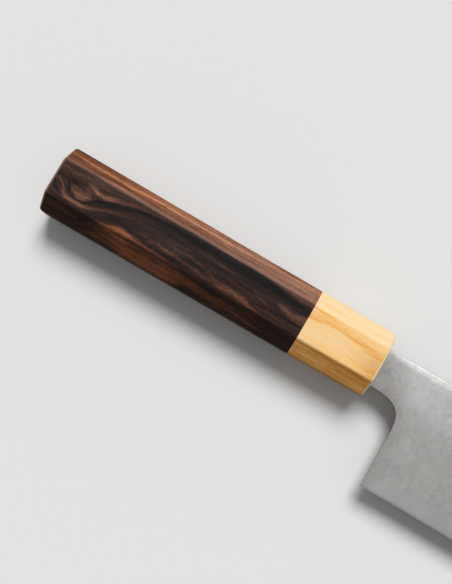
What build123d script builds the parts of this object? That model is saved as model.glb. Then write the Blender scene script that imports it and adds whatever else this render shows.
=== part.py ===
"""Kiritsuke kitchen knife with an octagonal two-wood handle. Millimetres.

The knife lies on its left side: +X runs from butt to tip, +Y from edge to spine, +Z up out of its right side.
The origin is under the middle of the knife's box, on the surface that it lies on.
"""
from build123d import *
import os

# Handle, straight-sided in thickness and tapering in height towards the blade
handle_length = 136.0
ferrule_length = 31.0
butt_height = 26.5
front_height = 25.3
handle_thickness = 21.5
facet_leg = 6.05
arris_radius = 1.6
butt_edge_radius = 1.5
ferrule_edge_radius = 1.3

# Rod that joins the ferrule to the handle body and holds the tang
ferrule_wall = 9.0
dowel_diameter = 13.5
dowel_past_slot = 5.0
dowel_end_chamfer = 0.6
glue_line = 0.05
bore_end_gap = 1.0

# Blade outline, seen from its right side
blade_length = 240.0
blade_height = 48.0
spine_offset = 7.2
neck_height = 15.0
neck_straight = 2.5
heel_reach = 15.6
choil_drop = 11.7
choil_neck_share = 0.72
choil_heel_share = 0.78
clip_length = 56.0
tip_rise = 7.0
flat_edge_share = 0.35
belly_power = 2.0

# Blade sections, each thickness across both faces
root_thickness = 3.3
heel_thickness = 2.3
tip_thickness = 1.2
tang_end_thickness = 2.2
shoulder_thickness = 0.34
bevel_height = 0.8
core_thickness = 0.55
spine_round = 0.3
grind_lead = 3.0
station_shares = (0.0, 0.25, 0.45, 0.62, 0.78, 0.9, 1.0)

# Tang inside the handle
tang_length = 96.0
tang_root_height = 9.4
tang_end_height = 6.0
slot_clearance = 0.2
slot_end_gap = 2.0
glue_recess = 0.4

# Cuts run past what they cut by this much
overrun = 2.0

overall_length = handle_length + heel_reach + blade_length
front_x = handle_length - overall_length / 2
heel_y = spine_offset - blade_height
tip_reach = heel_reach + blade_length
axis_y = -(butt_height / 2 + heel_y) / 2
mid_z = handle_thickness / 2
slot_length = tang_length + slot_end_gap
dowel_length = slot_length + dowel_past_slot - ferrule_wall

# In this plane x is measured from the ferrule's front and y from the handle's axis
side_plane = Plane(origin=(front_x, axis_y, mid_z), x_dir=(1, 0, 0), z_dir=(0, 0, 1))
joint_plane = Plane(origin=(front_x - ferrule_length, axis_y, mid_z), x_dir=(0, 1, 0), z_dir=(1, 0, 0))
wall_plane = joint_plane.offset(ferrule_length - ferrule_wall)
front_plane = joint_plane.offset(ferrule_length)


def mixed(low, high, share):
    """The value that lies this share of the way from low to high."""
    return low + (high - low) * share


def edge_height(reach):
    """Where the cutting edge lies across the blade at this reach: flat from the heel, then a rising belly."""
    curve_start = tip_reach - blade_length * (1 - flat_edge_share)
    curved_share = max(0, reach - curve_start) / (tip_reach - curve_start)
    return heel_y + tip_rise * curved_share**belly_power


def blade_section(reach, spine_thickness, low_thickness, edge_y):
    """Section of the blade at this reach: flat spine, wedge faces and a cutting bevel that ends in a point."""
    spine_half = spine_thickness / 2
    low_half = low_thickness / 2
    shoulder_y = edge_y + bevel_height
    with BuildSketch(front_plane.offset(reach)) as section:
        with BuildLine():
            Polyline(
                (spine_offset, -spine_half),
                (spine_offset, spine_half),
                (shoulder_y, low_half),
                (edge_y, 0),
                (shoulder_y, -low_half),
                close=True,
            )
        make_face()
    return section.sketch


# Outer form of the handle, shared by its two woods
with BuildPart() as handle_form:
    with BuildSketch(side_plane.offset(-handle_thickness / 2)):
        with BuildLine():
            Polyline(
                (0, front_height / 2),
                (-handle_length, butt_height / 2),
                (-handle_length, -butt_height / 2),
                (0, -front_height / 2),
                close=True,
            )
        make_face()
    extrude(amount=handle_thickness)
    corner_edges = handle_form.edges().sort_by(SortBy.LENGTH)[-4:]
    chamfer(corner_edges, length=facet_leg)
    arris_edges = handle_form.edges().sort_by(SortBy.LENGTH)[-8:]
    fillet(arris_edges, radius=arris_radius)
    fillet(handle_form.faces().sort_by(Axis.X)[0].edges(), radius=butt_edge_radius)
    fillet(handle_form.faces().sort_by(Axis.X)[-1].edges(), radius=ferrule_edge_radius)

# Blind bore for the rod, from inside the ferrule into the handle body
with BuildPart() as bore_form:
    with BuildSketch(wall_plane):
        Circle(dowel_diameter / 2 + glue_line)
    extrude(amount=-(dowel_length + bore_end_gap))

# Slot for the tang: sloping through the ferrule's wall, straight inside the rod
slot_half = tang_root_height / 2 + slot_clearance
slot_thickness = root_thickness + 2 * slot_clearance
with BuildPart() as slot_form:
    with BuildSketch(side_plane):
        with BuildLine():
            Polyline(
                (0, spine_offset + slot_clearance),
                (-ferrule_wall, slot_half),
                (-slot_length, slot_half),
                (-slot_length, -slot_half),
                (-ferrule_wall, -slot_half),
                (0, spine_offset - neck_height - slot_clearance),
                close=True,
            )
        make_face()
    extrude(amount=slot_thickness / 2, both=True)

# Whole blade with its tang, before it is parted into core and cladding
grind_reach = heel_reach - grind_lead
neck_y = spine_offset - neck_height
choil_run = heel_reach - neck_straight
choil_end_y = neck_y - choil_drop
tip_y = edge_height(tip_reach)
clip_slope = (spine_offset - tip_y) / clip_length
low_y = heel_y - overrun
high_y = spine_offset + overrun
with BuildPart() as blade_form:
    neck_sections = [
        blade_section(-tang_length - overrun, tang_end_thickness, tang_end_thickness, heel_y),
        blade_section(-ferrule_wall, root_thickness, root_thickness, heel_y),
        blade_section(grind_reach, heel_thickness, shoulder_thickness, heel_y),
    ]
    loft(sections=neck_sections, ruled=True)
    blade_sections = []
    for share in station_shares:
        reach = mixed(grind_reach, tip_reach + overrun, share)
        thickness = mixed(heel_thickness, tip_thickness, share)
        blade_sections.append(blade_section(reach, thickness, shoulder_thickness, edge_height(reach)))
    loft(sections=blade_sections)
    with BuildSketch(side_plane):
        with BuildLine():
            Bezier(
                (neck_straight, neck_y),
                (neck_straight + choil_run * choil_neck_share, neck_y),
                (heel_reach, choil_end_y + choil_drop * choil_heel_share),
                (heel_reach, choil_end_y),
            )
            Polyline(
                (heel_reach, choil_end_y),
                (heel_reach, low_y),
                (tip_reach + (tip_y - low_y) / clip_slope, low_y),
                (tip_reach - clip_length - overrun / clip_slope, high_y),
                (0, high_y),
                (0, spine_offset),
                (-ferrule_wall, tang_root_height / 2),
                (-tang_length, tang_end_height / 2),
                (-tang_length, -tang_end_height / 2),
                (-ferrule_wall, -tang_root_height / 2),
                (0, neck_y),
                (neck_straight, neck_y),
            )
        make_face()
    extrude(amount=root_thickness, both=True, mode=Mode.INTERSECT)
    top_edges = blade_form.edges().group_by(Axis.Y)[-1]
    fillet(top_edges.filter_by(lambda edge: edge.length > root_thickness), radius=spine_round)

# The hard core, which alone reaches the cutting edge, and the softer layer on each side of it
right_of_core = side_plane.offset(core_thickness / 2)
left_of_core = side_plane.offset(-core_thickness / 2)
with BuildPart() as blade_core:
    add(blade_form.part)
    split(bisect_by=right_of_core, keep=Keep.BOTTOM)
    split(bisect_by=left_of_core, keep=Keep.TOP)

with BuildPart() as cladding_right:
    add(blade_form.part)
    split(bisect_by=right_of_core, keep=Keep.TOP)

with BuildPart() as cladding_left:
    add(blade_form.part)
    split(bisect_by=left_of_core, keep=Keep.BOTTOM)

# Pale wood collar at the blade end
with BuildPart() as ferrule:
    add(handle_form.part)
    split(bisect_by=joint_plane, keep=Keep.TOP)
    add(bore_form.part, mode=Mode.SUBTRACT)
    add(slot_form.part, mode=Mode.SUBTRACT)

# Dark wood body of the handle
with BuildPart() as handle_body:
    add(handle_form.part)
    split(bisect_by=joint_plane, keep=Keep.BOTTOM)
    add(bore_form.part, mode=Mode.SUBTRACT)

# Round rod with the tang's slot
with BuildPart() as tang_dowel:
    with BuildSketch(wall_plane):
        Circle(dowel_diameter / 2)
    extrude(amount=-dowel_length)
    chamfer(tang_dowel.edges().filter_by(GeomType.CIRCLE), length=dowel_end_chamfer)
    add(slot_form.part, mode=Mode.SUBTRACT)

# Adhesive that fills the slot around the tang and stops just inside the ferrule's mouth
with BuildPart() as tang_adhesive:
    add(slot_form.part)
    split(bisect_by=front_plane.offset(-glue_recess), keep=Keep.BOTTOM)
    add(blade_form.part, mode=Mode.SUBTRACT)

os.makedirs("parts", exist_ok=True)
pieces = {
    "handle_body": handle_body,
    "ferrule": ferrule,
    "tang_dowel": tang_dowel,
    "tang_adhesive": tang_adhesive,
    "blade_core": blade_core,
    "cladding_right": cladding_right,
    "cladding_left": cladding_left,
}
for name, piece in pieces.items():
    piece.part.label = name
    export_step(piece.part, f"parts/{name}.step")
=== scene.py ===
"""Looks of the kiritsuke knife: figured dark wood, a pale wood ferrule, a matte layered blade."""
import math
import bmesh
import bpy
from mathutils import Matrix, Vector


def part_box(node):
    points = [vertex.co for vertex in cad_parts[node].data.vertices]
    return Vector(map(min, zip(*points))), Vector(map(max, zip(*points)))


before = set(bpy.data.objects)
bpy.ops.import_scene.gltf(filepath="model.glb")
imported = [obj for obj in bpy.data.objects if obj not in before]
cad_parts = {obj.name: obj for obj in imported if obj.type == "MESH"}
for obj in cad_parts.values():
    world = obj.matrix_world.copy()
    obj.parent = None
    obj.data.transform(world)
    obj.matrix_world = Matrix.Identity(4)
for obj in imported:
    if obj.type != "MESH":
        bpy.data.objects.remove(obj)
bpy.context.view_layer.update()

MM = 0.001

# All patterns are laid out from the middle of the ferrule's front, x towards the tip and y towards
# the spine
ferrule_low, ferrule_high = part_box("ferrule")
knife_origin = Vector((
    ferrule_high.x,
    (ferrule_low.y + ferrule_high.y) / 2,
    (ferrule_low.z + ferrule_high.z) / 2,
))

# A stroke's height, half width and strength reach no further than this
STROKE_REACH = 15.0
WIDEST_STROKE = 10.0
STRONGEST_STROKE = 0.6

# Noise lies round this value, and its swings need this gain to come near to one
NOISE_MIDDLE = 0.5
SWING_GAIN = 2.5


def tint(red, green, blue):
    """A colour as a screen shows it, each part from 0 to 255, as the light that it stands for."""
    light = []
    for part in (red / 255, green / 255, blue / 255):
        light.append(part / 12.92 if part < 0.04 else ((part + 0.055) / 1.055) ** 2.4)
    return (*light, 1.0)


class Bench:
    """Lays out and wires the nodes of one material or of one node group."""

    def __init__(self, tree):
        self.tree = tree

    def put(self, kind, sockets=None, **settings):
        """Adds a node; sockets gives its inputs a value each, or another node's output."""
        node = self.tree.nodes.new("ShaderNode" + kind)
        for name, value in settings.items():
            setattr(node, name, value)
        for name, value in (sockets or {}).items():
            self.feed(node.inputs[name], value)
        return node

    def feed(self, socket, value):
        if isinstance(value, bpy.types.NodeSocket):
            self.tree.links.new(value, socket)
        else:
            socket.default_value = value

    def math(self, operation, first, second=0.0, third=0.0):
        sockets = {0: first, 1: second, 2: third}
        return self.put("Math", sockets, operation=operation).outputs[0]

    def plus(self, first, second):
        return self.math("ADD", first, second)

    def minus(self, first, second):
        return self.math("SUBTRACT", first, second)

    def times(self, first, second):
        return self.math("MULTIPLY", first, second)

    def sum(self, *values):
        total = values[0]
        for value in values[1:]:
            total = self.plus(total, value)
        return total

    def fit(self, value, start, end, low=0.0, high=1.0):
        """Goes straight from low to high as the value goes from start to end, and stops there."""
        sockets = {0: value, 1: start, 2: end, 3: low, 4: high}
        value = self.put("MapRange", sockets, clamp=False).outputs[0]
        limits = {"Value": value, "Min": min(low, high), "Max": max(low, high)}
        return self.put("Clamp", limits).outputs[0]

    def rise(self, value, start, end, low=0.0, high=1.0):
        """Goes smoothly from low to high while the value goes from start to end."""
        sockets = {0: value, 1: start, 2: end, 3: low, 4: high}
        node = self.put("MapRange", sockets, interpolation_type="SMOOTHSTEP", clamp=False)
        return node.outputs[0]

    def mix(self, amount, first, second, blend="MIX"):
        """Blends two colours."""
        sockets = {0: amount, 6: first, 7: second}
        return self.put("Mix", sockets, data_type="RGBA", blend_type=blend).outputs[2]

    def mix_value(self, amount, first, second):
        return self.put("Mix", {0: amount, 2: first, 3: second}).outputs[0]

    def point(self, x, y, z):
        return self.put("CombineXYZ", {0: x, 1: y, 2: z}).outputs[0]

    def grain_place(self, x, y, z, along, across):
        """A place for a pattern in wood: the smaller along is, the longer it is drawn out."""
        return self.point(self.times(x, along), self.times(y, across), self.times(z, across))

    def face_place(self, x, y, z, along, across):
        """A place for a pattern on the blade's face, drawn out along the blade or across it."""
        return self.point(self.times(x, along), self.times(y, across), z)

    def noise(self, place, scale=1.0, detail=2.0, roughness=0.5, distortion=0.0):
        sockets = {"Vector": place, "Scale": scale, "Detail": detail}
        sockets.update({"Roughness": roughness, "Distortion": distortion})
        return self.put("TexNoise", sockets).outputs[0]

    def swing(self, place, reach, scale=1.0, detail=1.0):
        """Noise that swings evenly to both sides of zero, about as far as reach."""
        swings = self.minus(self.noise(place, scale, detail), NOISE_MIDDLE)
        return self.times(swings, reach * SWING_GAIN)

    def vary(self, value, pattern, strength):
        """Lets a pattern from 0 to 1 swing the value to both sides."""
        return self.plus(value, self.times(self.minus(pattern, NOISE_MIDDLE), strength))

    def colours(self, value, stops):
        """A strip of colours; stops are pairs of a place from 0 to 1 and a colour."""
        ramp = self.put("ValToRGB", {0: value})
        elements = ramp.color_ramp.elements
        while len(elements) < len(stops):
            elements.new(1.0)
        for element, (place, colour) in zip(elements, stops):
            element.position = place
            element.color = colour
        return ramp.outputs[0]

    def place_group(self, group, sockets=None):
        node = self.tree.nodes.new("ShaderNodeGroup")
        node.node_tree = group
        for name, value in (sockets or {}).items():
            self.feed(node.inputs[name], value)
        return node.outputs

    def curve(self, share, places, levels):
        """A smooth curve through levels at these places, all from 0 to 1, and flat past its ends."""
        node = self.put("FloatCurve", {"Value": share})
        node.mapping.extend = "HORIZONTAL"
        drawn = node.mapping.curves[0]
        while len(drawn.points) < len(places):
            drawn.points.new(0.5, 0.5)
        for spot, place, level in zip(drawn.points, places, levels):
            spot.location = (place, level)
            spot.handle_type = "AUTO_CLAMPED"
        node.mapping.update()
        return node.outputs[0]

    def stroke(self, x, y, points):
        """A soft streak drawn along the grain.

        Points are x, y and half width in millimetres, and a strength. A positive strength makes
        the surface lighter there, and a negative one makes it darker.
        """
        along, heights, widths, strengths = zip(*points)
        first, last = along[0], along[-1]
        length = last - first
        share = self.math("MULTIPLY_ADD", x, 1 / length, -first / length)
        places = [(point - first) / length for point in along]
        reach, most = 2 * STROKE_REACH, 2 * STRONGEST_STROKE
        line = self.curve(share, places, [0.5 + height / reach for height in heights])
        line = self.math("MULTIPLY_ADD", line, reach, -STROKE_REACH)
        width = self.curve(share, places, [width / WIDEST_STROKE for width in widths])
        width = self.times(width, WIDEST_STROKE)
        strength = self.curve(share, places, [0.5 + strength / most for strength in strengths])
        strength = self.math("MULTIPLY_ADD", strength, most, -STRONGEST_STROKE)
        off = self.math("DIVIDE", self.math("ABSOLUTE", self.minus(y, line)), width)
        return self.times(self.rise(off, 1.0, 0.0), strength)

    def draw(self, tone, x, y, strokes):
        """Adds strokes to the tone one after the other."""
        for points in strokes:
            tone = self.plus(tone, self.stroke(x, y, points))
        return tone


def new_group(name, inputs, outputs):
    """An empty node group with its bench, its inputs by name and its outputs by name."""
    tree = bpy.data.node_groups.new(name, "ShaderNodeTree")
    for socket_name in inputs:
        tree.interface.new_socket(socket_name, in_out="INPUT", socket_type="NodeSocketFloat")
    for socket_name in outputs:
        tree.interface.new_socket(socket_name, in_out="OUTPUT", socket_type="NodeSocketFloat")
    entry = tree.nodes.new("NodeGroupInput").outputs
    leave = tree.nodes.new("NodeGroupOutput").inputs
    return tree, Bench(tree), entry, leave


def new_material(name):
    """An empty material with its bench and its surface shader."""
    material = bpy.data.materials.new(name)
    material.use_nodes = True
    return material, Bench(material.node_tree), material.node_tree.nodes["Principled BSDF"]


def millimetres(bench):
    """Place on the knife in millimetres from its origin, as x, y and z."""
    place = bench.put("TexCoord").outputs["Object"]
    sockets = {0: place, 1: (1 / MM,) * 3, 2: tuple(-knife_origin / MM)}
    scaled = bench.put("VectorMath", sockets, operation="MULTIPLY_ADD").outputs[0]
    return bench.put("SeparateXYZ", {0: scaled}).outputs


def dress(node, material):
    """Gives a CAD piece its finish."""
    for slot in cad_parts[node].material_slots:
        slot.material = material


def relief(bench, height, depth, shader):
    """Raises the surface by the height, a share of the depth in millimetres."""
    bump = bench.put("Bump", {"Height": height, "Strength": 1.0, "Distance": depth * MM})
    bench.feed(shader.inputs["Normal"], bump.outputs[0])


# Effects that more than one material uses

def make_fibres():
    """Wood fibres that run along x, and the short dark pores between them."""
    inputs = ("X", "Y", "Z", "Fineness")
    tree, bench, entry, leave = new_group("wood_fibres", inputs, ("Fibres", "Pores", "Cloud"))
    x, y, z, fine = (entry[name] for name in inputs)
    across, deep = bench.times(y, fine), bench.times(z, fine)
    fibres = bench.noise(bench.point(bench.times(x, 0.045), across, deep), 1.5, 5.0, 0.62, 0.3)
    bench.feed(leave["Fibres"], fibres)
    dashes = bench.noise(bench.point(bench.times(x, 0.28), across, deep), 3.4, 2.0, 0.5)
    bench.feed(leave["Pores"], bench.rise(dashes, 0.6, 0.7))
    cloud = bench.noise(bench.grain_place(x, y, z, 0.05, 0.3), 1.0, 3.0, 0.55)
    bench.feed(leave["Cloud"], cloud)
    return tree


def bend_grain(bench, x, y, z, along):
    """The height across the grain, which bends as the grain goes in from the flats."""
    facet_depth, middle_depth = 4.9, 0.5
    inside = bench.rise(bench.math("ABSOLUTE", z), facet_depth, middle_depth)
    drift = bench.swing(bench.point(bench.times(x, along), 0.0, bench.times(z, 0.3)), 2.5)
    bend = bench.times(inside, bench.plus(drift, -1.6))
    return bench.plus(y, bench.times(bend, bench.fit(y, -6.0, 6.0, -1.0, 1.0)))


def make_arrises():
    """Where the handle's long edges and end rims are rounded, read from how the surface faces; the
    end rims carry a painted highlight.
    """
    tree, bench, entry, leave = new_group("rounded_edges", (), ("Long edges", "Painted rim light"))
    facing = bench.put("SeparateXYZ", {0: bench.put("TexCoord").outputs["Normal"]}).outputs
    flats = 8.0
    turn = bench.math("ARCTAN2", facing[1], facing[2])
    wave = bench.math("COSINE", bench.times(turn, flats))
    along = bench.math("ABSOLUTE", facing[0])
    level = bench.rise(along, 0.3, 0.1)
    bench.feed(leave["Long edges"], bench.times(bench.rise(wave, 0.6, -0.9), level))
    rim = bench.times(bench.rise(along, 0.2, 0.6), bench.rise(along, 0.995, 0.9))
    # The end rims' painted highlight is strongest where they face up
    bench.feed(leave["Painted rim light"], bench.times(rim, bench.rise(facing[2], -0.3, 0.4, 0.25, 1.0)))
    return tree


fibres_group = make_fibres()
arrises_group = make_arrises()


# Dark figured wood of the handle body

# The grain climbs out of the knot and settles along the upper arris
GRAIN_CLIMB = [
    (-140, 0.0, 8.0, 0.0), (-134, 0.0, 8.0, -0.02), (-129, -0.5, 7.0, -0.34),
    (-123, -1.0, 6.5, -0.44), (-118, -0.5, 6.5, -0.28), (-112, 0.0, 7.0, -0.02),
    (-106, 0.5, 7.0, 0.16), (-100, 0.5, 7.0, 0.26), (-90, 0.5, 7.0, 0.34),
    (-70, 0.0, 7.0, 0.3), (-30, 0.0, 7.0, 0.16),
]
MOST_CLIMB = 10.0

HEARTWOOD_STROKES = (
    # Dark band that leaves the knot and follows the upper arris
    [(-130, 0.5, 0.6, 0), (-128.5, -2, 0.9, -0.18), (-126, -3.4, 0.7, -0.22),
     (-122, -3.9, 0.7, -0.26), (-119.5, -2.6, 1.0, -0.28), (-117, -0.6, 1.3, -0.26),
     (-112, 0.8, 1.4, -0.24), (-106, 2.8, 1.3, -0.24), (-100, 4.0, 1.2, -0.22),
     (-94, 4.7, 1.3, -0.14), (-85, 4.9, 1.4, 0)],
    [(-98, 4.4, 1.2, 0), (-88, 4.9, 1.5, -0.14), (-76, 4.8, 2.2, -0.2), (-62, 4.6, 2.4, -0.24),
     (-46, 4.3, 2.2, -0.24), (-38, 3.8, 1.7, -0.2), (-30, 3.6, 1.5, -0.16)],
    # Pale ring round the knot, which runs on up the side
    [(-137, 0.8, 0.8, 0.14), (-134, 0.2, 0.9, 0.18), (-131.6, -1.4, 1.3, 0.24),
     (-129.6, -3.7, 1.4, 0.26), (-127, -4.8, 1.3, 0.36), (-122, -4.8, 1.4, 0.42),
     (-119, -4.3, 1.2, 0.24), (-115.5, -3.0, 1.0, 0.22), (-112, -1.5, 1.1, 0.18),
     (-106, 0.1, 1.1, 0.08), (-100, 1.5, 1.1, 0.06), (-92, 2.8, 0.9, 0)],
    # Tan band above the knot
    [(-130, 3.4, 1.2, 0), (-124, 3.4, 1.4, 0.14), (-120.5, 2.7, 1.5, 0.28),
     (-117.5, 1.8, 1.4, 0.46), (-113, 2.8, 1.7, 0.42), (-109, 3.8, 1.3, 0.28),
     (-103, 5.2, 1.2, 0.24), (-95, 5.9, 1.2, 0.2), (-86, 6.4, 0.6, 0)],
    # Reddish wood along the arris by the butt
    [(-138, 5.0, 2.4, 0.15), (-126, 5.2, 2.0, 0.1), (-118, 5.6, 1.8, 0.12),
     (-108, 6.0, 1.5, 0.14), (-98, 6.6, 1.0, 0)],
    # Dark marks left of the knot
    [(-137, 1.9, 0.7, -0.1), (-132, 1.7, 0.8, -0.14), (-128, 1.4, 0.7, -0.14),
     (-125.5, 1.6, 0.4, 0)],
    [(-137, -1.4, 1.0, -0.1), (-134.5, -2.0, 1.3, -0.14), (-132.5, -3.8, 1.4, -0.12),
     (-130, -5.6, 1.2, -0.05), (-128, -6.6, 0.8, 0)],
    # Bright patch on the lower arris
    [(-115, -6.8, 0.4, 0), (-111, -6.5, 0.9, 0.34), (-107.5, -6.0, 1.5, 0.5),
     (-104, -5.6, 1.9, 0.5), (-99, -5.9, 1.6, 0.26), (-93, -6.5, 1.0, 0.14),
     (-86, -6.7, 0.6, 0.12), (-80, -6.8, 0.4, 0)],
    [(-121, -6.0, 0.8, 0), (-116, -5.6, 1.3, -0.08), (-110, -4.4, 1.1, -0.08),
     (-106, -3.4, 0.8, 0)],
    # Broken edge of the knot
    [(-130.6, 1.5, 0.3, 0), (-129.6, 0.2, 1.5, -0.14), (-128.6, -1.6, 1.6, -0.12),
     (-127.6, -2.6, 0.6, 0)],
    [(-121.4, 1.6, 0.4, 0), (-119.6, -0.6, 0.8, -0.12), (-118.6, -1.6, 0.4, 0)],
    [(-128.4, 0.7, 0.5, 0), (-125.2, 0.9, 0.9, -0.16), (-123, 0.4, 1.0, -0.18),
     (-121.8, 0.2, 0.7, -0.12), (-120.6, -0.6, 0.4, 0)],
    [(-127.6, -1.8, 0.7, 0), (-125, -2.2, 1.1, 0.14), (-122, -2.0, 1.2, 0.14),
     (-120.2, -1.2, 0.6, 0)],
    # Narrow streaks in the middle
    [(-103, -3.2, 1.0, 0), (-97, -3.3, 1.9, 0.2), (-91, -3.3, 1.0, 0.28), (-87, -3.4, 0.8, 0.34),
     (-82, -3.8, 0.9, 0.22), (-76, -4.2, 1.1, 0.26), (-69, -4.8, 1.2, 0.28), (-63, -5.3, 1.0, 0.26),
     (-57, -5.9, 0.5, 0)],
    [(-99, -5.0, 0.4, 0), (-95, -5.0, 0.5, -0.05), (-88, -5.2, 0.6, -0.14),
     (-80, -5.5, 0.4, -0.08), (-74, -5.7, 0.4, 0)],
    [(-92, -0.4, 0.5, 0), (-84, -0.9, 0.6, 0.08), (-76, -1.3, 0.7, 0.14), (-70, -1.9, 0.6, 0.12),
     (-63, -2.0, 0.4, 0)],
    [(-79, 2.0, 0.3, 0), (-73, 1.9, 0.4, 0.04), (-66, 1.9, 0.6, 0.2), (-61, 1.8, 0.4, 0.1),
     (-55, 1.8, 0.3, 0)],
    # Flame-like streak that runs down to the lower arris
    [(-74, -2.8, 0.4, 0), (-69, -3.5, 1.1, 0.16), (-64, -4.4, 1.5, 0.24), (-58, -4.9, 1.4, 0.34),
     (-53, -5.3, 1.3, 0.38), (-49, -6.0, 0.8, 0.26), (-45, -6.6, 0.3, 0)],
    # Patches by the ferrule
    [(-53, -0.7, 0.4, 0), (-49, -1.4, 0.9, 0.24), (-44.5, -2.3, 0.6, 0.12), (-41, -2.6, 0.4, 0)],
    [(-44, 0.2, 0.6, 0), (-40, -0.4, 2.0, 0.34), (-37, -0.8, 2.3, 0.38), (-33, -0.9, 2.4, 0.38),
     (-30, -0.9, 2.4, 0.36)],
    [(-52, 6.2, 0.8, 0), (-44, 6.2, 1.0, 0.14), (-36, 5.7, 1.3, 0.24), (-30, 5.7, 1.4, 0.26)],
    [(-48, -3.2, 0.4, 0), (-41, -3.1, 0.4, -0.12), (-30, -3.3, 0.4, -0.08)],
    [(-51, -4.3, 0.4, 0), (-45, -4.5, 0.9, 0.22), (-38, -4.6, 0.9, 0.12), (-30, -4.3, 0.9, 0.08)],
    # Lines along the bright wood by the spine
    [(-138, 7.75, 0.45, 0.14), (-116, 7.8, 0.5, 0.12), (-94, 7.8, 0.5, 0.02),
     (-60, 7.7, 0.6, -0.04), (-30, 7.6, 0.6, 0.0)],
    [(-138, 8.6, 0.5, -0.1), (-100, 8.6, 0.5, -0.08), (-90, 8.6, 0.4, -0.02),
     (-80, 8.6, 0.4, -0.08), (-30, 8.7, 0.4, -0.06)],
    [(-138, 11.2, 0.8, 0.14), (-126, 10.6, 1.0, 0.2), (-114, 10.3, 1.1, 0.3),
     (-103, 10.6, 1.0, 0.26), (-88, 10.8, 0.8, 0.22), (-56, 10.8, 1.0, 0.2),
     (-42, 11.2, 0.8, 0.12), (-30, 11.4, 0.8, 0.16)],
    [(-138, 12.8, 0.9, -0.14), (-120, 12.8, 0.6, -0.06), (-104, 12.6, 0.8, 0.06),
     (-80, 12.6, 0.8, 0.08), (-30, 12.9, 0.4, -0.04)],
    # Brown wood of the lower facet
    [(-119, -9.4, 1.0, 0), (-112, -9.4, 3.4, 0.24), (-98, -10.0, 4.6, 0.46),
     (-84, -10.2, 4.6, 0.46), (-74, -9.6, 2.8, 0.36), (-60, -9.8, 2.4, 0.22),
     (-50, -10.6, 1.6, 0.16), (-38, -10.8, 1.2, 0.0), (-30, -10.8, 1.0, 0.0)],
    [(-116, -7.4, 0.4, 0), (-110, -7.6, 0.9, 0.24), (-104, -8.0, 1.2, 0.26), (-99, -8.0, 0.8, 0)],
    [(-103, -8.9, 0.5, 0), (-97, -8.6, 0.8, -0.2), (-90, -8.4, 0.6, -0.12),
     (-82, -8.8, 0.5, -0.06), (-76, -9.0, 0.4, 0)],
    [(-78, -7.4, 0.5, 0), (-72, -7.4, 0.8, -0.06), (-66, -8.0, 1.0, -0.16),
     (-60, -8.2, 0.8, -0.12), (-55, -7.8, 0.5, 0)],
    [(-82, -12.6, 0.8, 0), (-76, -12.0, 1.0, -0.16), (-71, -11.5, 1.1, -0.14),
     (-66, -11.7, 0.9, -0.1), (-61, -12.1, 0.7, 0)],
    [(-124, -12.4, 0.6, 0), (-119, -10.6, 0.7, 0.16), (-114, -8.2, 0.6, 0.1),
     (-112, -7.4, 0.4, 0)],
    [(-119, -12.4, 0.6, 0), (-114, -11.4, 1.0, 0.2), (-109, -11.6, 1.0, 0.12),
     (-104, -12.0, 0.6, 0)],
    [(-139, -9.6, 1.8, 0.14), (-134, -9.4, 2.0, 0.18), (-128, -9.2, 1.9, 0.16),
     (-124, -9.4, 1.3, 0.16), (-119, -10.0, 1.0, 0)],
)

KNOT_X, KNOT_Y = -123.9, -0.9


def make_heartwood_figure():
    """How light or dark the wood is: its streaks, its knot and the bright wood by the spine."""
    tree, bench, entry, leave = new_group("heartwood_figure", ("X", "Y", "Z"), ("Tone", "Lift"))
    x, y, z = (entry[name] for name in ("X", "Y", "Z"))
    lift = bench.times(bench.stroke(x, y, GRAIN_CLIMB), MOST_CLIMB)
    bench.feed(leave["Lift"], lift)
    flow = bench.minus(y, lift)
    wander = bench.swing(bench.grain_place(x, flow, z, 0.09, 0.25), 0.45)
    ragged = bench.swing(bench.grain_place(x, flow, z, 0.3, 1.1), 0.55, detail=3.0)
    straight_y = y
    x, y = bench.plus(x, wander), bench.sum(y, wander, ragged)
    tone = bench.rise(x, -108.0, -122.0, 0.255, 0.34)
    # Bright wood towards the spine, brighter still past the knot
    height = bench.plus(straight_y, bench.fit(x, -125.0, -50.0, 0.0, 0.4))
    bright = bench.rise(height, 6.7, 7.5)
    past_knot = bench.rise(x, -134.0, -95.0, 0.3, 0.5)
    gain = bench.plus(past_knot, bench.rise(x, -60.0, -38.0, 0.0, 0.09))
    tone = bench.plus(tone, bench.times(bright, gain))
    # The lower facet is darker by the butt, and its foot is lighter up to near the ferrule
    facet = bench.rise(straight_y, -6.9, -7.4)
    tone = bench.plus(tone, bench.times(facet, bench.rise(x, -118.0, -110.0, -0.12, 0.0)))
    foot = bench.rise(straight_y, -10.6, -12.2)
    tone = bench.plus(tone, bench.times(foot, bench.rise(x, -48.0, -64.0, 0.0, 0.1)))
    tone = bench.draw(tone, x, y, HEARTWOOD_STROKES)
    # The knot: a reddish eye with an uneven outline
    place = bench.point(bench.times(x, 0.5), bench.times(y, 0.7), bench.times(z, 0.5))
    uneven = bench.swing(place, 0.3, detail=3.0)
    out_x = bench.times(bench.plus(x, -KNOT_X), 0.225)
    out_y = bench.times(bench.plus(y, -KNOT_Y), 0.35)
    out = bench.plus(bench.times(out_x, out_x), bench.times(out_y, out_y))
    out = bench.math("SQRT", out)
    tone = bench.plus(tone, bench.rise(bench.plus(out, uneven), 1.15, 0.75, 0.0, 0.2))
    bench.feed(leave["Tone"], tone)
    return tree


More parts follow.
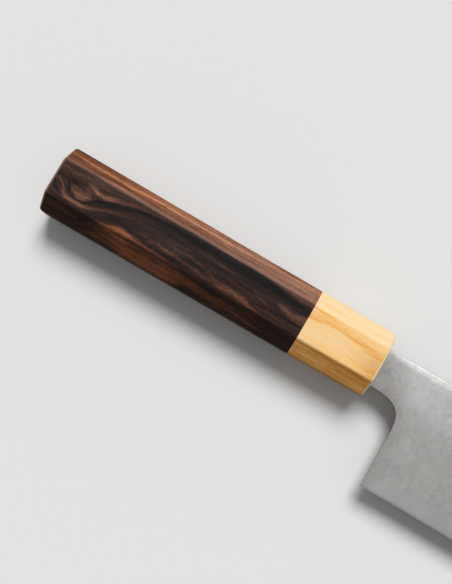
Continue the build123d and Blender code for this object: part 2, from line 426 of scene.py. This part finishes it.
def place_figure(bench, x, y, z):
    """The figure's tone, and the height across its climbing grain."""
    figure_group = make_heartwood_figure()
    bent = bend_grain(bench, x, y, z, 0.03)
    near = bench.place_group(figure_group, {"X": x, "Y": bent, "Z": z})
    # The far side shows the figure turned end for end, and other noise
    turn_sum, drop, other_noise = -167.0, 0.5, 40.0
    turned = bench.minus(turn_sum, x)
    far_place = {"X": turned, "Y": bench.minus(bent, drop), "Z": bench.plus(z, other_noise)}
    far = bench.place_group(figure_group, far_place)
    side = bench.rise(z, 3.0, -3.0)
    tone = bench.mix_value(side, near["Tone"], far["Tone"])
    flow = bench.minus(y, bench.mix_value(side, near["Lift"], far["Lift"]))
    return tone, flow


def colour_dark_wood(bench, x, y, tone, cloud):
    """Pinker by the ferrule and on the side, more orange low down and by the butt."""
    orange = bench.colours(tone, (
        (0.0, tint(15, 11, 9)), (0.15, tint(27, 18, 14)), (0.3, tint(47, 29, 21)),
        (0.45, tint(72, 42, 28)), (0.6, tint(101, 59, 37)), (0.75, tint(131, 79, 51)),
        (0.9, tint(162, 102, 67)), (1.0, tint(190, 128, 86)),
    ))
    rosy = bench.colours(tone, (
        (0.0, tint(17, 16, 17)), (0.15, tint(28, 24, 24)), (0.3, tint(46, 36, 34)),
        (0.45, tint(71, 52, 46)), (0.6, tint(98, 71, 60)), (0.75, tint(128, 92, 76)),
        (0.9, tint(156, 114, 94)), (1.0, tint(182, 140, 116)),
    ))
    by_knot = bench.rise(y, -7.6, -6.6, 0.0, 0.55)
    past_knot = bench.rise(y, -7.2, -2.6, 0.0, 0.55)
    pink = bench.mix_value(bench.rise(x, -118.0, -108.0), by_knot, past_knot)
    towards_spine = bench.rise(y, 6.5, 9.0)
    towards_ferrule = bench.rise(x, -120.0, -45.0, -0.3, 0.35)
    pink = bench.plus(pink, bench.times(towards_spine, towards_ferrule))
    pink = bench.plus(pink, bench.rise(y, 9.0, 12.5, 0.0, -0.25))
    pink = bench.vary(pink, cloud, 1.2)
    pink = bench.math("MAXIMUM", bench.math("MINIMUM", pink, 1.0), 0.0)
    return bench.mix(pink, orange, rosy)


def make_dark_wood():
    material, bench, shader = new_material("dark_figured_wood")
    x, y, z = millimetres(bench)
    tone, flow = place_figure(bench, x, y, z)
    place = {"X": x, "Y": flow, "Z": z, "Fineness": 1.0}
    fibres, pores, cloud = bench.place_group(fibres_group, place)
    streaks = bench.noise(bench.grain_place(x, flow, z, 0.09, 0.8), 1.0, 4.0, 0.6, 0.4)
    tone = bench.vary(tone, fibres, 0.66)
    tone = bench.vary(tone, streaks, 0.25)
    mottle = bench.noise(bench.grain_place(x, flow, z, 1.1, 2.4), 1.0, 3.0, 0.65)
    tone = bench.vary(tone, mottle, 0.5)
    tone = bench.vary(tone, cloud, 0.3)
    tone = bench.minus(tone, bench.times(pores, 0.09))
    colour = colour_dark_wood(bench, x, y, tone, cloud)
    arrises = bench.place_group(arrises_group)
    # Painted sheen: a greyish highlight painted along the upper arris, stronger towards the ferrule
    painted_sheen = bench.stroke(x, bench.vary(y, fibres, 1.2), [
        (-137, 7.6, 0.8, 0.08), (-110, 7.5, 0.9, 0.14), (-80, 7.4, 1.0, 0.26),
        (-60, 7.2, 1.1, 0.32), (-30, 7.0, 1.1, 0.38),
    ])
    colour = bench.mix(painted_sheen, colour, tint(146, 120, 110))
    # Painted highlight on the end rims, strongest where they face up
    colour = bench.mix(bench.times(arrises["Painted rim light"], 0.7), colour, tint(168, 128, 118))
    bench.feed(shader.inputs["Base Color"], colour)
    rough = bench.plus(bench.times(fibres, 0.14), bench.times(pores, 0.12))
    rough = bench.plus(rough, bench.times(arrises["Long edges"], 0.22))
    bench.feed(shader.inputs["Roughness"], bench.plus(rough, 0.26))
    shader.inputs["Specular IOR Level"].default_value = 0.12
    relief(bench, bench.minus(bench.times(fibres, 0.4), pores), 0.025, shader)
    return material


# Pale wood of the ferrule

FERRULE_STROKES = (
    # Tan band that ends in a darker streak, with pale wood just below it
    [(-32, 3.8, 3.4, -0.24), (-22, 4.2, 3.2, -0.2), (-14, 3.6, 3.0, -0.13), (-6, 3.6, 2.6, -0.14),
     (1, 3.2, 2.6, -0.08)],
    [(-32, 2.0, 1.1, -0.1), (-27, 2.1, 1.2, -0.16), (-22, 3.0, 1.7, -0.16),
     (-17, 3.1, 1.9, -0.17), (-12, 2.8, 2.1, -0.2), (-7, 2.4, 2.3, -0.23),
     (-3, 2.0, 2.3, -0.22), (1, 1.6, 2.1, -0.16)],
    [(-32, 1.3, 0.7, 0.06), (-25, 1.4, 0.8, 0.1), (-19, 1.8, 0.8, 0.1), (-14, 1.2, 0.7, 0.08),
     (-9, 0.4, 0.7, 0.04), (-4, -0.4, 0.6, 0)],
    [(-16, -3.6, 0.4, 0), (-8, -3.3, 0.5, -0.1), (1, -3.8, 0.6, -0.12)],
    [(-29, -1.6, 0.5, 0), (-23, -0.4, 0.9, 0.14), (-16, -1.4, 1.2, 0.16), (-10, -3.2, 0.9, 0.12),
     (-4, -4.6, 0.6, 0)],
    [(-32, -3.8, 1.4, 0.06), (-18, -2.6, 2.2, 0.06), (-8, -4.6, 2.0, -0.1), (1, -5.0, 2.4, -0.22)],
    [(-32, 9.2, 0.9, -0.16), (-15, 9.0, 0.8, -0.16), (1, 8.8, 0.6, -0.12)],
    [(-32, 11.6, 0.5, -0.04), (-15, 11.8, 0.5, -0.07), (1, 11.6, 0.5, -0.04)],
    [(-32, -7.6, 0.6, -0.2), (-15, -7.8, 0.5, -0.22), (1, -7.6, 0.5, -0.14)],
    [(-32, -10.6, 0.8, 0.06), (-15, -10.2, 1.0, 0.1), (1, -10.6, 0.8, 0.04)],
)


def make_pale_wood():
    material, bench, shader = new_material("pale_honey_wood")
    x, y, z = millimetres(bench)
    bent = bend_grain(bench, x, y, z, 0.05)
    bent = bench.plus(bent, bench.swing(bench.grain_place(x, y, z, 0.1, 0.3), 0.35))
    # Lighter on the facet towards the spine, darker on the lower one
    upper = bench.rise(bent, 6.3, 7.0, 0.68, 0.92)
    tone = bench.plus(upper, bench.rise(bent, -6.5, -7.1, 0.0, -0.32))
    tone = bench.draw(tone, x, bent, FERRULE_STROKES)
    place = {"X": x, "Y": bent, "Z": z, "Fineness": 0.9}
    fibres, pores, cloud = bench.place_group(fibres_group, place)
    tone = bench.vary(tone, fibres, 0.8)
    tone = bench.vary(tone, cloud, 0.4)
    mottle = bench.noise(bench.grain_place(x, bent, z, 0.7, 2.6), 1.0, 3.0, 0.65)
    tone = bench.vary(tone, mottle, 0.5)
    tone = bench.minus(tone, bench.times(pores, 0.07))
    colour = bench.colours(tone, (
        (0.0, tint(176, 104, 42)), (0.25, tint(220, 146, 62)), (0.42, tint(240, 176, 90)),
        (0.56, tint(251, 202, 126)), (0.7, tint(251, 207, 144)), (0.82, tint(248, 212, 157)),
        (1.0, tint(245, 219, 173)),
    ))
    # Redder wood towards the front
    front = bench.stroke(x, bent, [
        (-18, -1.6, 3.0, 0), (-11, -2.0, 5.0, 0.12), (-6, -2.2, 6.4, 0.36),
        (-2, -2.4, 8.0, 0.58), (1, -2.4, 8.6, 0.58),
    ])
    colour = bench.mix(bench.times(front, 1.5), colour, tint(226, 208, 191), "MULTIPLY")
    arrises = bench.place_group(arrises_group)
    # Painted highlight on the end rims, strongest where they face up
    colour = bench.mix(bench.times(arrises["Painted rim light"], 0.8), colour, tint(255, 240, 206))
    bench.feed(shader.inputs["Base Color"], colour)
    bench.feed(shader.inputs["Roughness"], bench.plus(bench.times(fibres, 0.12), 0.4))
    shader.inputs["Specular IOR Level"].default_value = 0.3
    relief(bench, bench.minus(bench.times(fibres, 0.4), pores), 0.02, shader)
    return material


# Rod and adhesive inside the handle

def make_rod_wood():
    material, bench, shader = new_material("plain_rod_wood")
    x, y, z = millimetres(bench)
    place = {"X": x, "Y": y, "Z": z, "Fineness": 1.2}
    fibres, pores, cloud = bench.place_group(fibres_group, place)
    tone = bench.minus(bench.plus(fibres, bench.times(cloud, 0.3)), bench.times(pores, 0.2))
    colour = bench.colours(tone, (
        (0.2, tint(176, 138, 92)), (0.6, tint(214, 180, 132)), (1.0, tint(230, 202, 160)),
    ))
    bench.feed(shader.inputs["Base Color"], colour)
    bench.feed(shader.inputs["Roughness"], bench.plus(bench.times(fibres, 0.15), 0.5))
    relief(bench, bench.minus(fibres, pores), 0.03, shader)
    return material


def make_adhesive():
    material, bench, shader = new_material("set_adhesive")
    x, y, z = millimetres(bench)
    place = bench.point(x, y, z)
    cloud = bench.noise(place, 0.35, 4.0, 0.6)
    colour = bench.colours(cloud, ((0.3, tint(44, 36, 30)), (0.7, tint(66, 54, 44))))
    bench.feed(shader.inputs["Base Color"], colour)
    bench.feed(shader.inputs["Roughness"], bench.fit(bench.noise(place, 2.0), 0.3, 0.7, 0.3, 0.45))
    relief(bench, cloud, 0.1, shader)
    return material


# Steel

def make_satin():
    """The blade's blasted finish: a fine frost, soft clouds and a few faint hairlines."""
    outputs = ("Frost", "Clouds", "Hairlines")
    tree, bench, entry, leave = new_group("frosted_steel", ("X", "Y", "Z"), outputs)
    x, y, z = (entry[name] for name in ("X", "Y", "Z"))
    place = bench.point(x, y, z)
    bench.feed(leave["Frost"], bench.noise(place, 5.0, 3.0, 0.6))
    bench.feed(leave["Clouds"], bench.noise(place, 0.16, 4.0, 0.6, 0.6))
    leaning_x = bench.plus(bench.times(x, 1.6), bench.times(y, 0.2))
    slant = bench.point(leaning_x, bench.times(y, 0.06), z)
    bench.feed(leave["Hairlines"], bench.rise(bench.noise(slant, 2.0, 2.0, 0.5), 0.66, 0.78))
    return tree


def show_layers(bench, x, y, z, value, rough):
    """Folded layers: faint wavering contours, soft clouds and small flecks near the spine."""
    waver = bench.noise(bench.grain_place(x, y, z, 0.045, 0.1), 1.0, 3.0, 0.55, 0.8)
    contour = bench.math("SINE", bench.times(bench.plus(waver, bench.times(y, 0.012)), 150.0))
    value = bench.plus(value, bench.times(contour, 0.018))
    rough = bench.plus(rough, bench.times(contour, 0.01))
    mottle = bench.noise(bench.face_place(x, y, z, 0.6, 0.32), 1.0, 4.0, 0.64, 1.0)
    value = bench.vary(value, mottle, 0.38)
    specks = bench.noise(bench.face_place(x, y, z, 0.5, 0.9), 1.0, 1.0)
    flecks = bench.rise(specks, 0.62, 0.74)
    near_spine = bench.times(bench.rise(y, 1.5, 4.5), bench.rise(y, 6.4, 5.4))
    value = bench.minus(value, bench.times(bench.times(flecks, near_spine), 0.22))
    return value, rough


def paint_blade_light_and_shade(bench, x, y, z, value):
    """Painted shade round the neck and low down, painted light higher up, and a painted highlight in
    a broken line along the spine.
    """
    neck = bench.plus(x, bench.math("MAXIMUM", bench.times(y, 0.6), -5.0))
    painted_spine_highlight = bench.stroke(x, y, [
        (-2, 6.4, 1.3, 0.36), (10, 6.4, 1.7, 0.46), (17, 6.3, 1.8, 0.46), (250, 6.3, 1.9, 0.3),
    ])
    gaps = bench.noise(bench.face_place(x, y, z, 0.35, 0.5), 1.0, 2.0)
    broken = bench.rise(gaps, 0.32, 0.6, 0.45, 1.1)
    painted_spine_highlight = bench.times(painted_spine_highlight, broken)
    value = bench.sum(value, painted_spine_highlight, bench.rise(neck, 18.0, 1.0, 0.0, -0.4))
    painted_shade_low = bench.rise(y, -14.0, -3.0, -0.17, 0.02)
    painted_light_high = bench.rise(y, -1.0, 6.0, 0.0, 0.08)
    return bench.sum(value, painted_shade_low, painted_light_high)


def make_steel(name, layered):
    material, bench, shader = new_material(name)
    x, y, z = millimetres(bench)
    frost, clouds, hairlines = bench.place_group(satin_group, {"X": x, "Y": y, "Z": z})
    value = bench.times(bench.minus(frost, NOISE_MIDDLE), 0.12)
    value = bench.vary(value, clouds, 0.3)
    rough = bench.plus(bench.times(frost, 0.1), 0.29)
    if layered:
        value, rough = show_layers(bench, x, y, z, value, rough)
    value = paint_blade_light_and_shade(bench, x, y, z, value)
    # Painted shade on the rounded spine, which is also made rougher
    shaded_spine_round = bench.rise(y, 6.8, 7.05)
    value = bench.minus(value, bench.times(shaded_spine_round, 0.38))
    rough = bench.plus(rough, bench.times(shaded_spine_round, 0.3))
    colour = bench.colours(bench.plus(value, 0.53), (
        (0.0, tint(158, 154, 150)), (0.5, tint(205, 204, 203)), (1.0, tint(248, 249, 247)),
    ))
    if layered:
        # The etch leaves faint green and violet clouds
        clouding = bench.noise(bench.face_place(x, y, z, 0.4, 0.4), 1.0, 3.0, 0.6)
        green, violet = tint(252, 255, 251), tint(255, 252, 255)
        cast = bench.mix(bench.fit(clouding, 0.35, 0.65), green, violet)
        colour = bench.mix(1.0, colour, cast, "MULTIPLY")
    bench.feed(shader.inputs["Base Color"], colour)
    bench.feed(shader.inputs["Roughness"], rough)
    shader.inputs["Metallic"].default_value = 1.0
    relief(bench, bench.minus(frost, hairlines), 0.01, shader)
    return material


satin_group = make_satin()
dress("handle_body", make_dark_wood())
dress("ferrule", make_pale_wood())
dress("tang_dowel", make_rod_wood())
dress("tang_adhesive", make_adhesive())
dress("blade_core", make_steel("core_steel", layered=False))
cladding = make_steel("layered_cladding_steel", layered=True)
dress("cladding_right", cladding)
dress("cladding_left", cladding)


# Floor, light and camera

def seen_in(bench):
    """Whether the camera sees a surface itself, and whether by reflection or through glass."""
    path = bench.put("LightPath").outputs
    indirect = bench.math("MAXIMUM", path["Is Glossy Ray"], path["Is Transmission Ray"])
    return path["Is Camera Ray"], indirect


def make_floor():
    material, bench, shader = new_material("floor_paint")
    camera_sees, reflection_sees = seen_in(bench)
    share = bench.math("MAXIMUM", camera_sees, bench.times(reflection_sees, 0.25))
    lighting_colour, seen_colour = tint(120, 120, 120), tint(232, 232, 231)
    bench.feed(shader.inputs["Base Color"], bench.mix(share, lighting_colour, seen_colour))
    shader.inputs["Roughness"].default_value = 0.9
    shader.inputs["Specular IOR Level"].default_value = 0.1
    shape = bmesh.new()
    bmesh.ops.create_grid(shape, x_segments=1, y_segments=1, size=12.0)
    mesh = bpy.data.meshes.new("floor")
    shape.to_mesh(mesh)
    shape.free()
    mesh.materials.append(material)
    floor = bpy.data.objects.new("floor", mesh)
    bpy.context.scene.collection.objects.link(floor)


def make_light():
    """One wide soft light on the spine's side, and an even room."""
    lamp = bpy.data.lights.new("soft_light", "SUN")
    lamp.angle = math.radians(28)
    lamp.energy = 2.66
    soft_light = bpy.data.objects.new("soft_light", lamp)
    lean = math.radians(36)
    away = Vector((-0.1, math.sin(lean), math.cos(lean))).normalized()
    soft_light.rotation_mode = "QUATERNION"
    soft_light.rotation_quaternion = (-away).to_track_quat("-Z", "Y")
    bpy.context.scene.collection.objects.link(soft_light)
    world = bpy.data.worlds.new("even_room")
    world.use_nodes = True
    bench = Bench(world.node_tree)
    up = bench.put("SeparateXYZ", {0: bench.put("TexCoord").outputs["Generated"]}).outputs[2]
    camera_sees, reflection_sees = seen_in(bench)
    reflected = bench.mix_value(reflection_sees, 0.27, bench.rise(up, 0.1, 0.75, 0.3, 0.48))
    backdrop = bench.rise(up, 0.25, 0.75, 0.82, 0.62)
    background = world.node_tree.nodes["Background"]
    background.inputs[0].default_value = (1, 1, 1, 1)
    bench.feed(background.inputs[1], bench.mix_value(camera_sees, reflected, backdrop))
    bpy.context.scene.world = world


def make_camera():
    """The photograph's view: nearly from above, turned so that the handle runs down rightwards."""
    photo_height = 584
    focal_length = 900.0
    aim = knife_origin + Vector((-61.4, -4.68, 0.0)) * MM
    distance = 330.7 * MM
    lean_x, lean_y, turn = (math.radians(angle) for angle in (-4.26, -2.89, -30.43))
    axes = Matrix.Rotation(turn, 3, "Z") @ Matrix.Rotation(lean_x, 3, "X")
    axes = axes @ Matrix.Rotation(lean_y, 3, "Y")
    lens = bpy.data.cameras.new("camera")
    lens.lens = focal_length / photo_height * lens.sensor_width
    lens.clip_start = 0.01
    camera = bpy.data.objects.new("camera", lens)
    camera.rotation_mode = "QUATERNION"
    camera.rotation_quaternion = axes.transposed().to_quaternion()
    camera.location = aim + axes[2] * distance
    bpy.context.scene.collection.objects.link(camera)
    bpy.context.scene.camera = camera


make_floor()
make_light()
make_camera()
bpy.context.scene.view_settings.view_transform = "Standard"
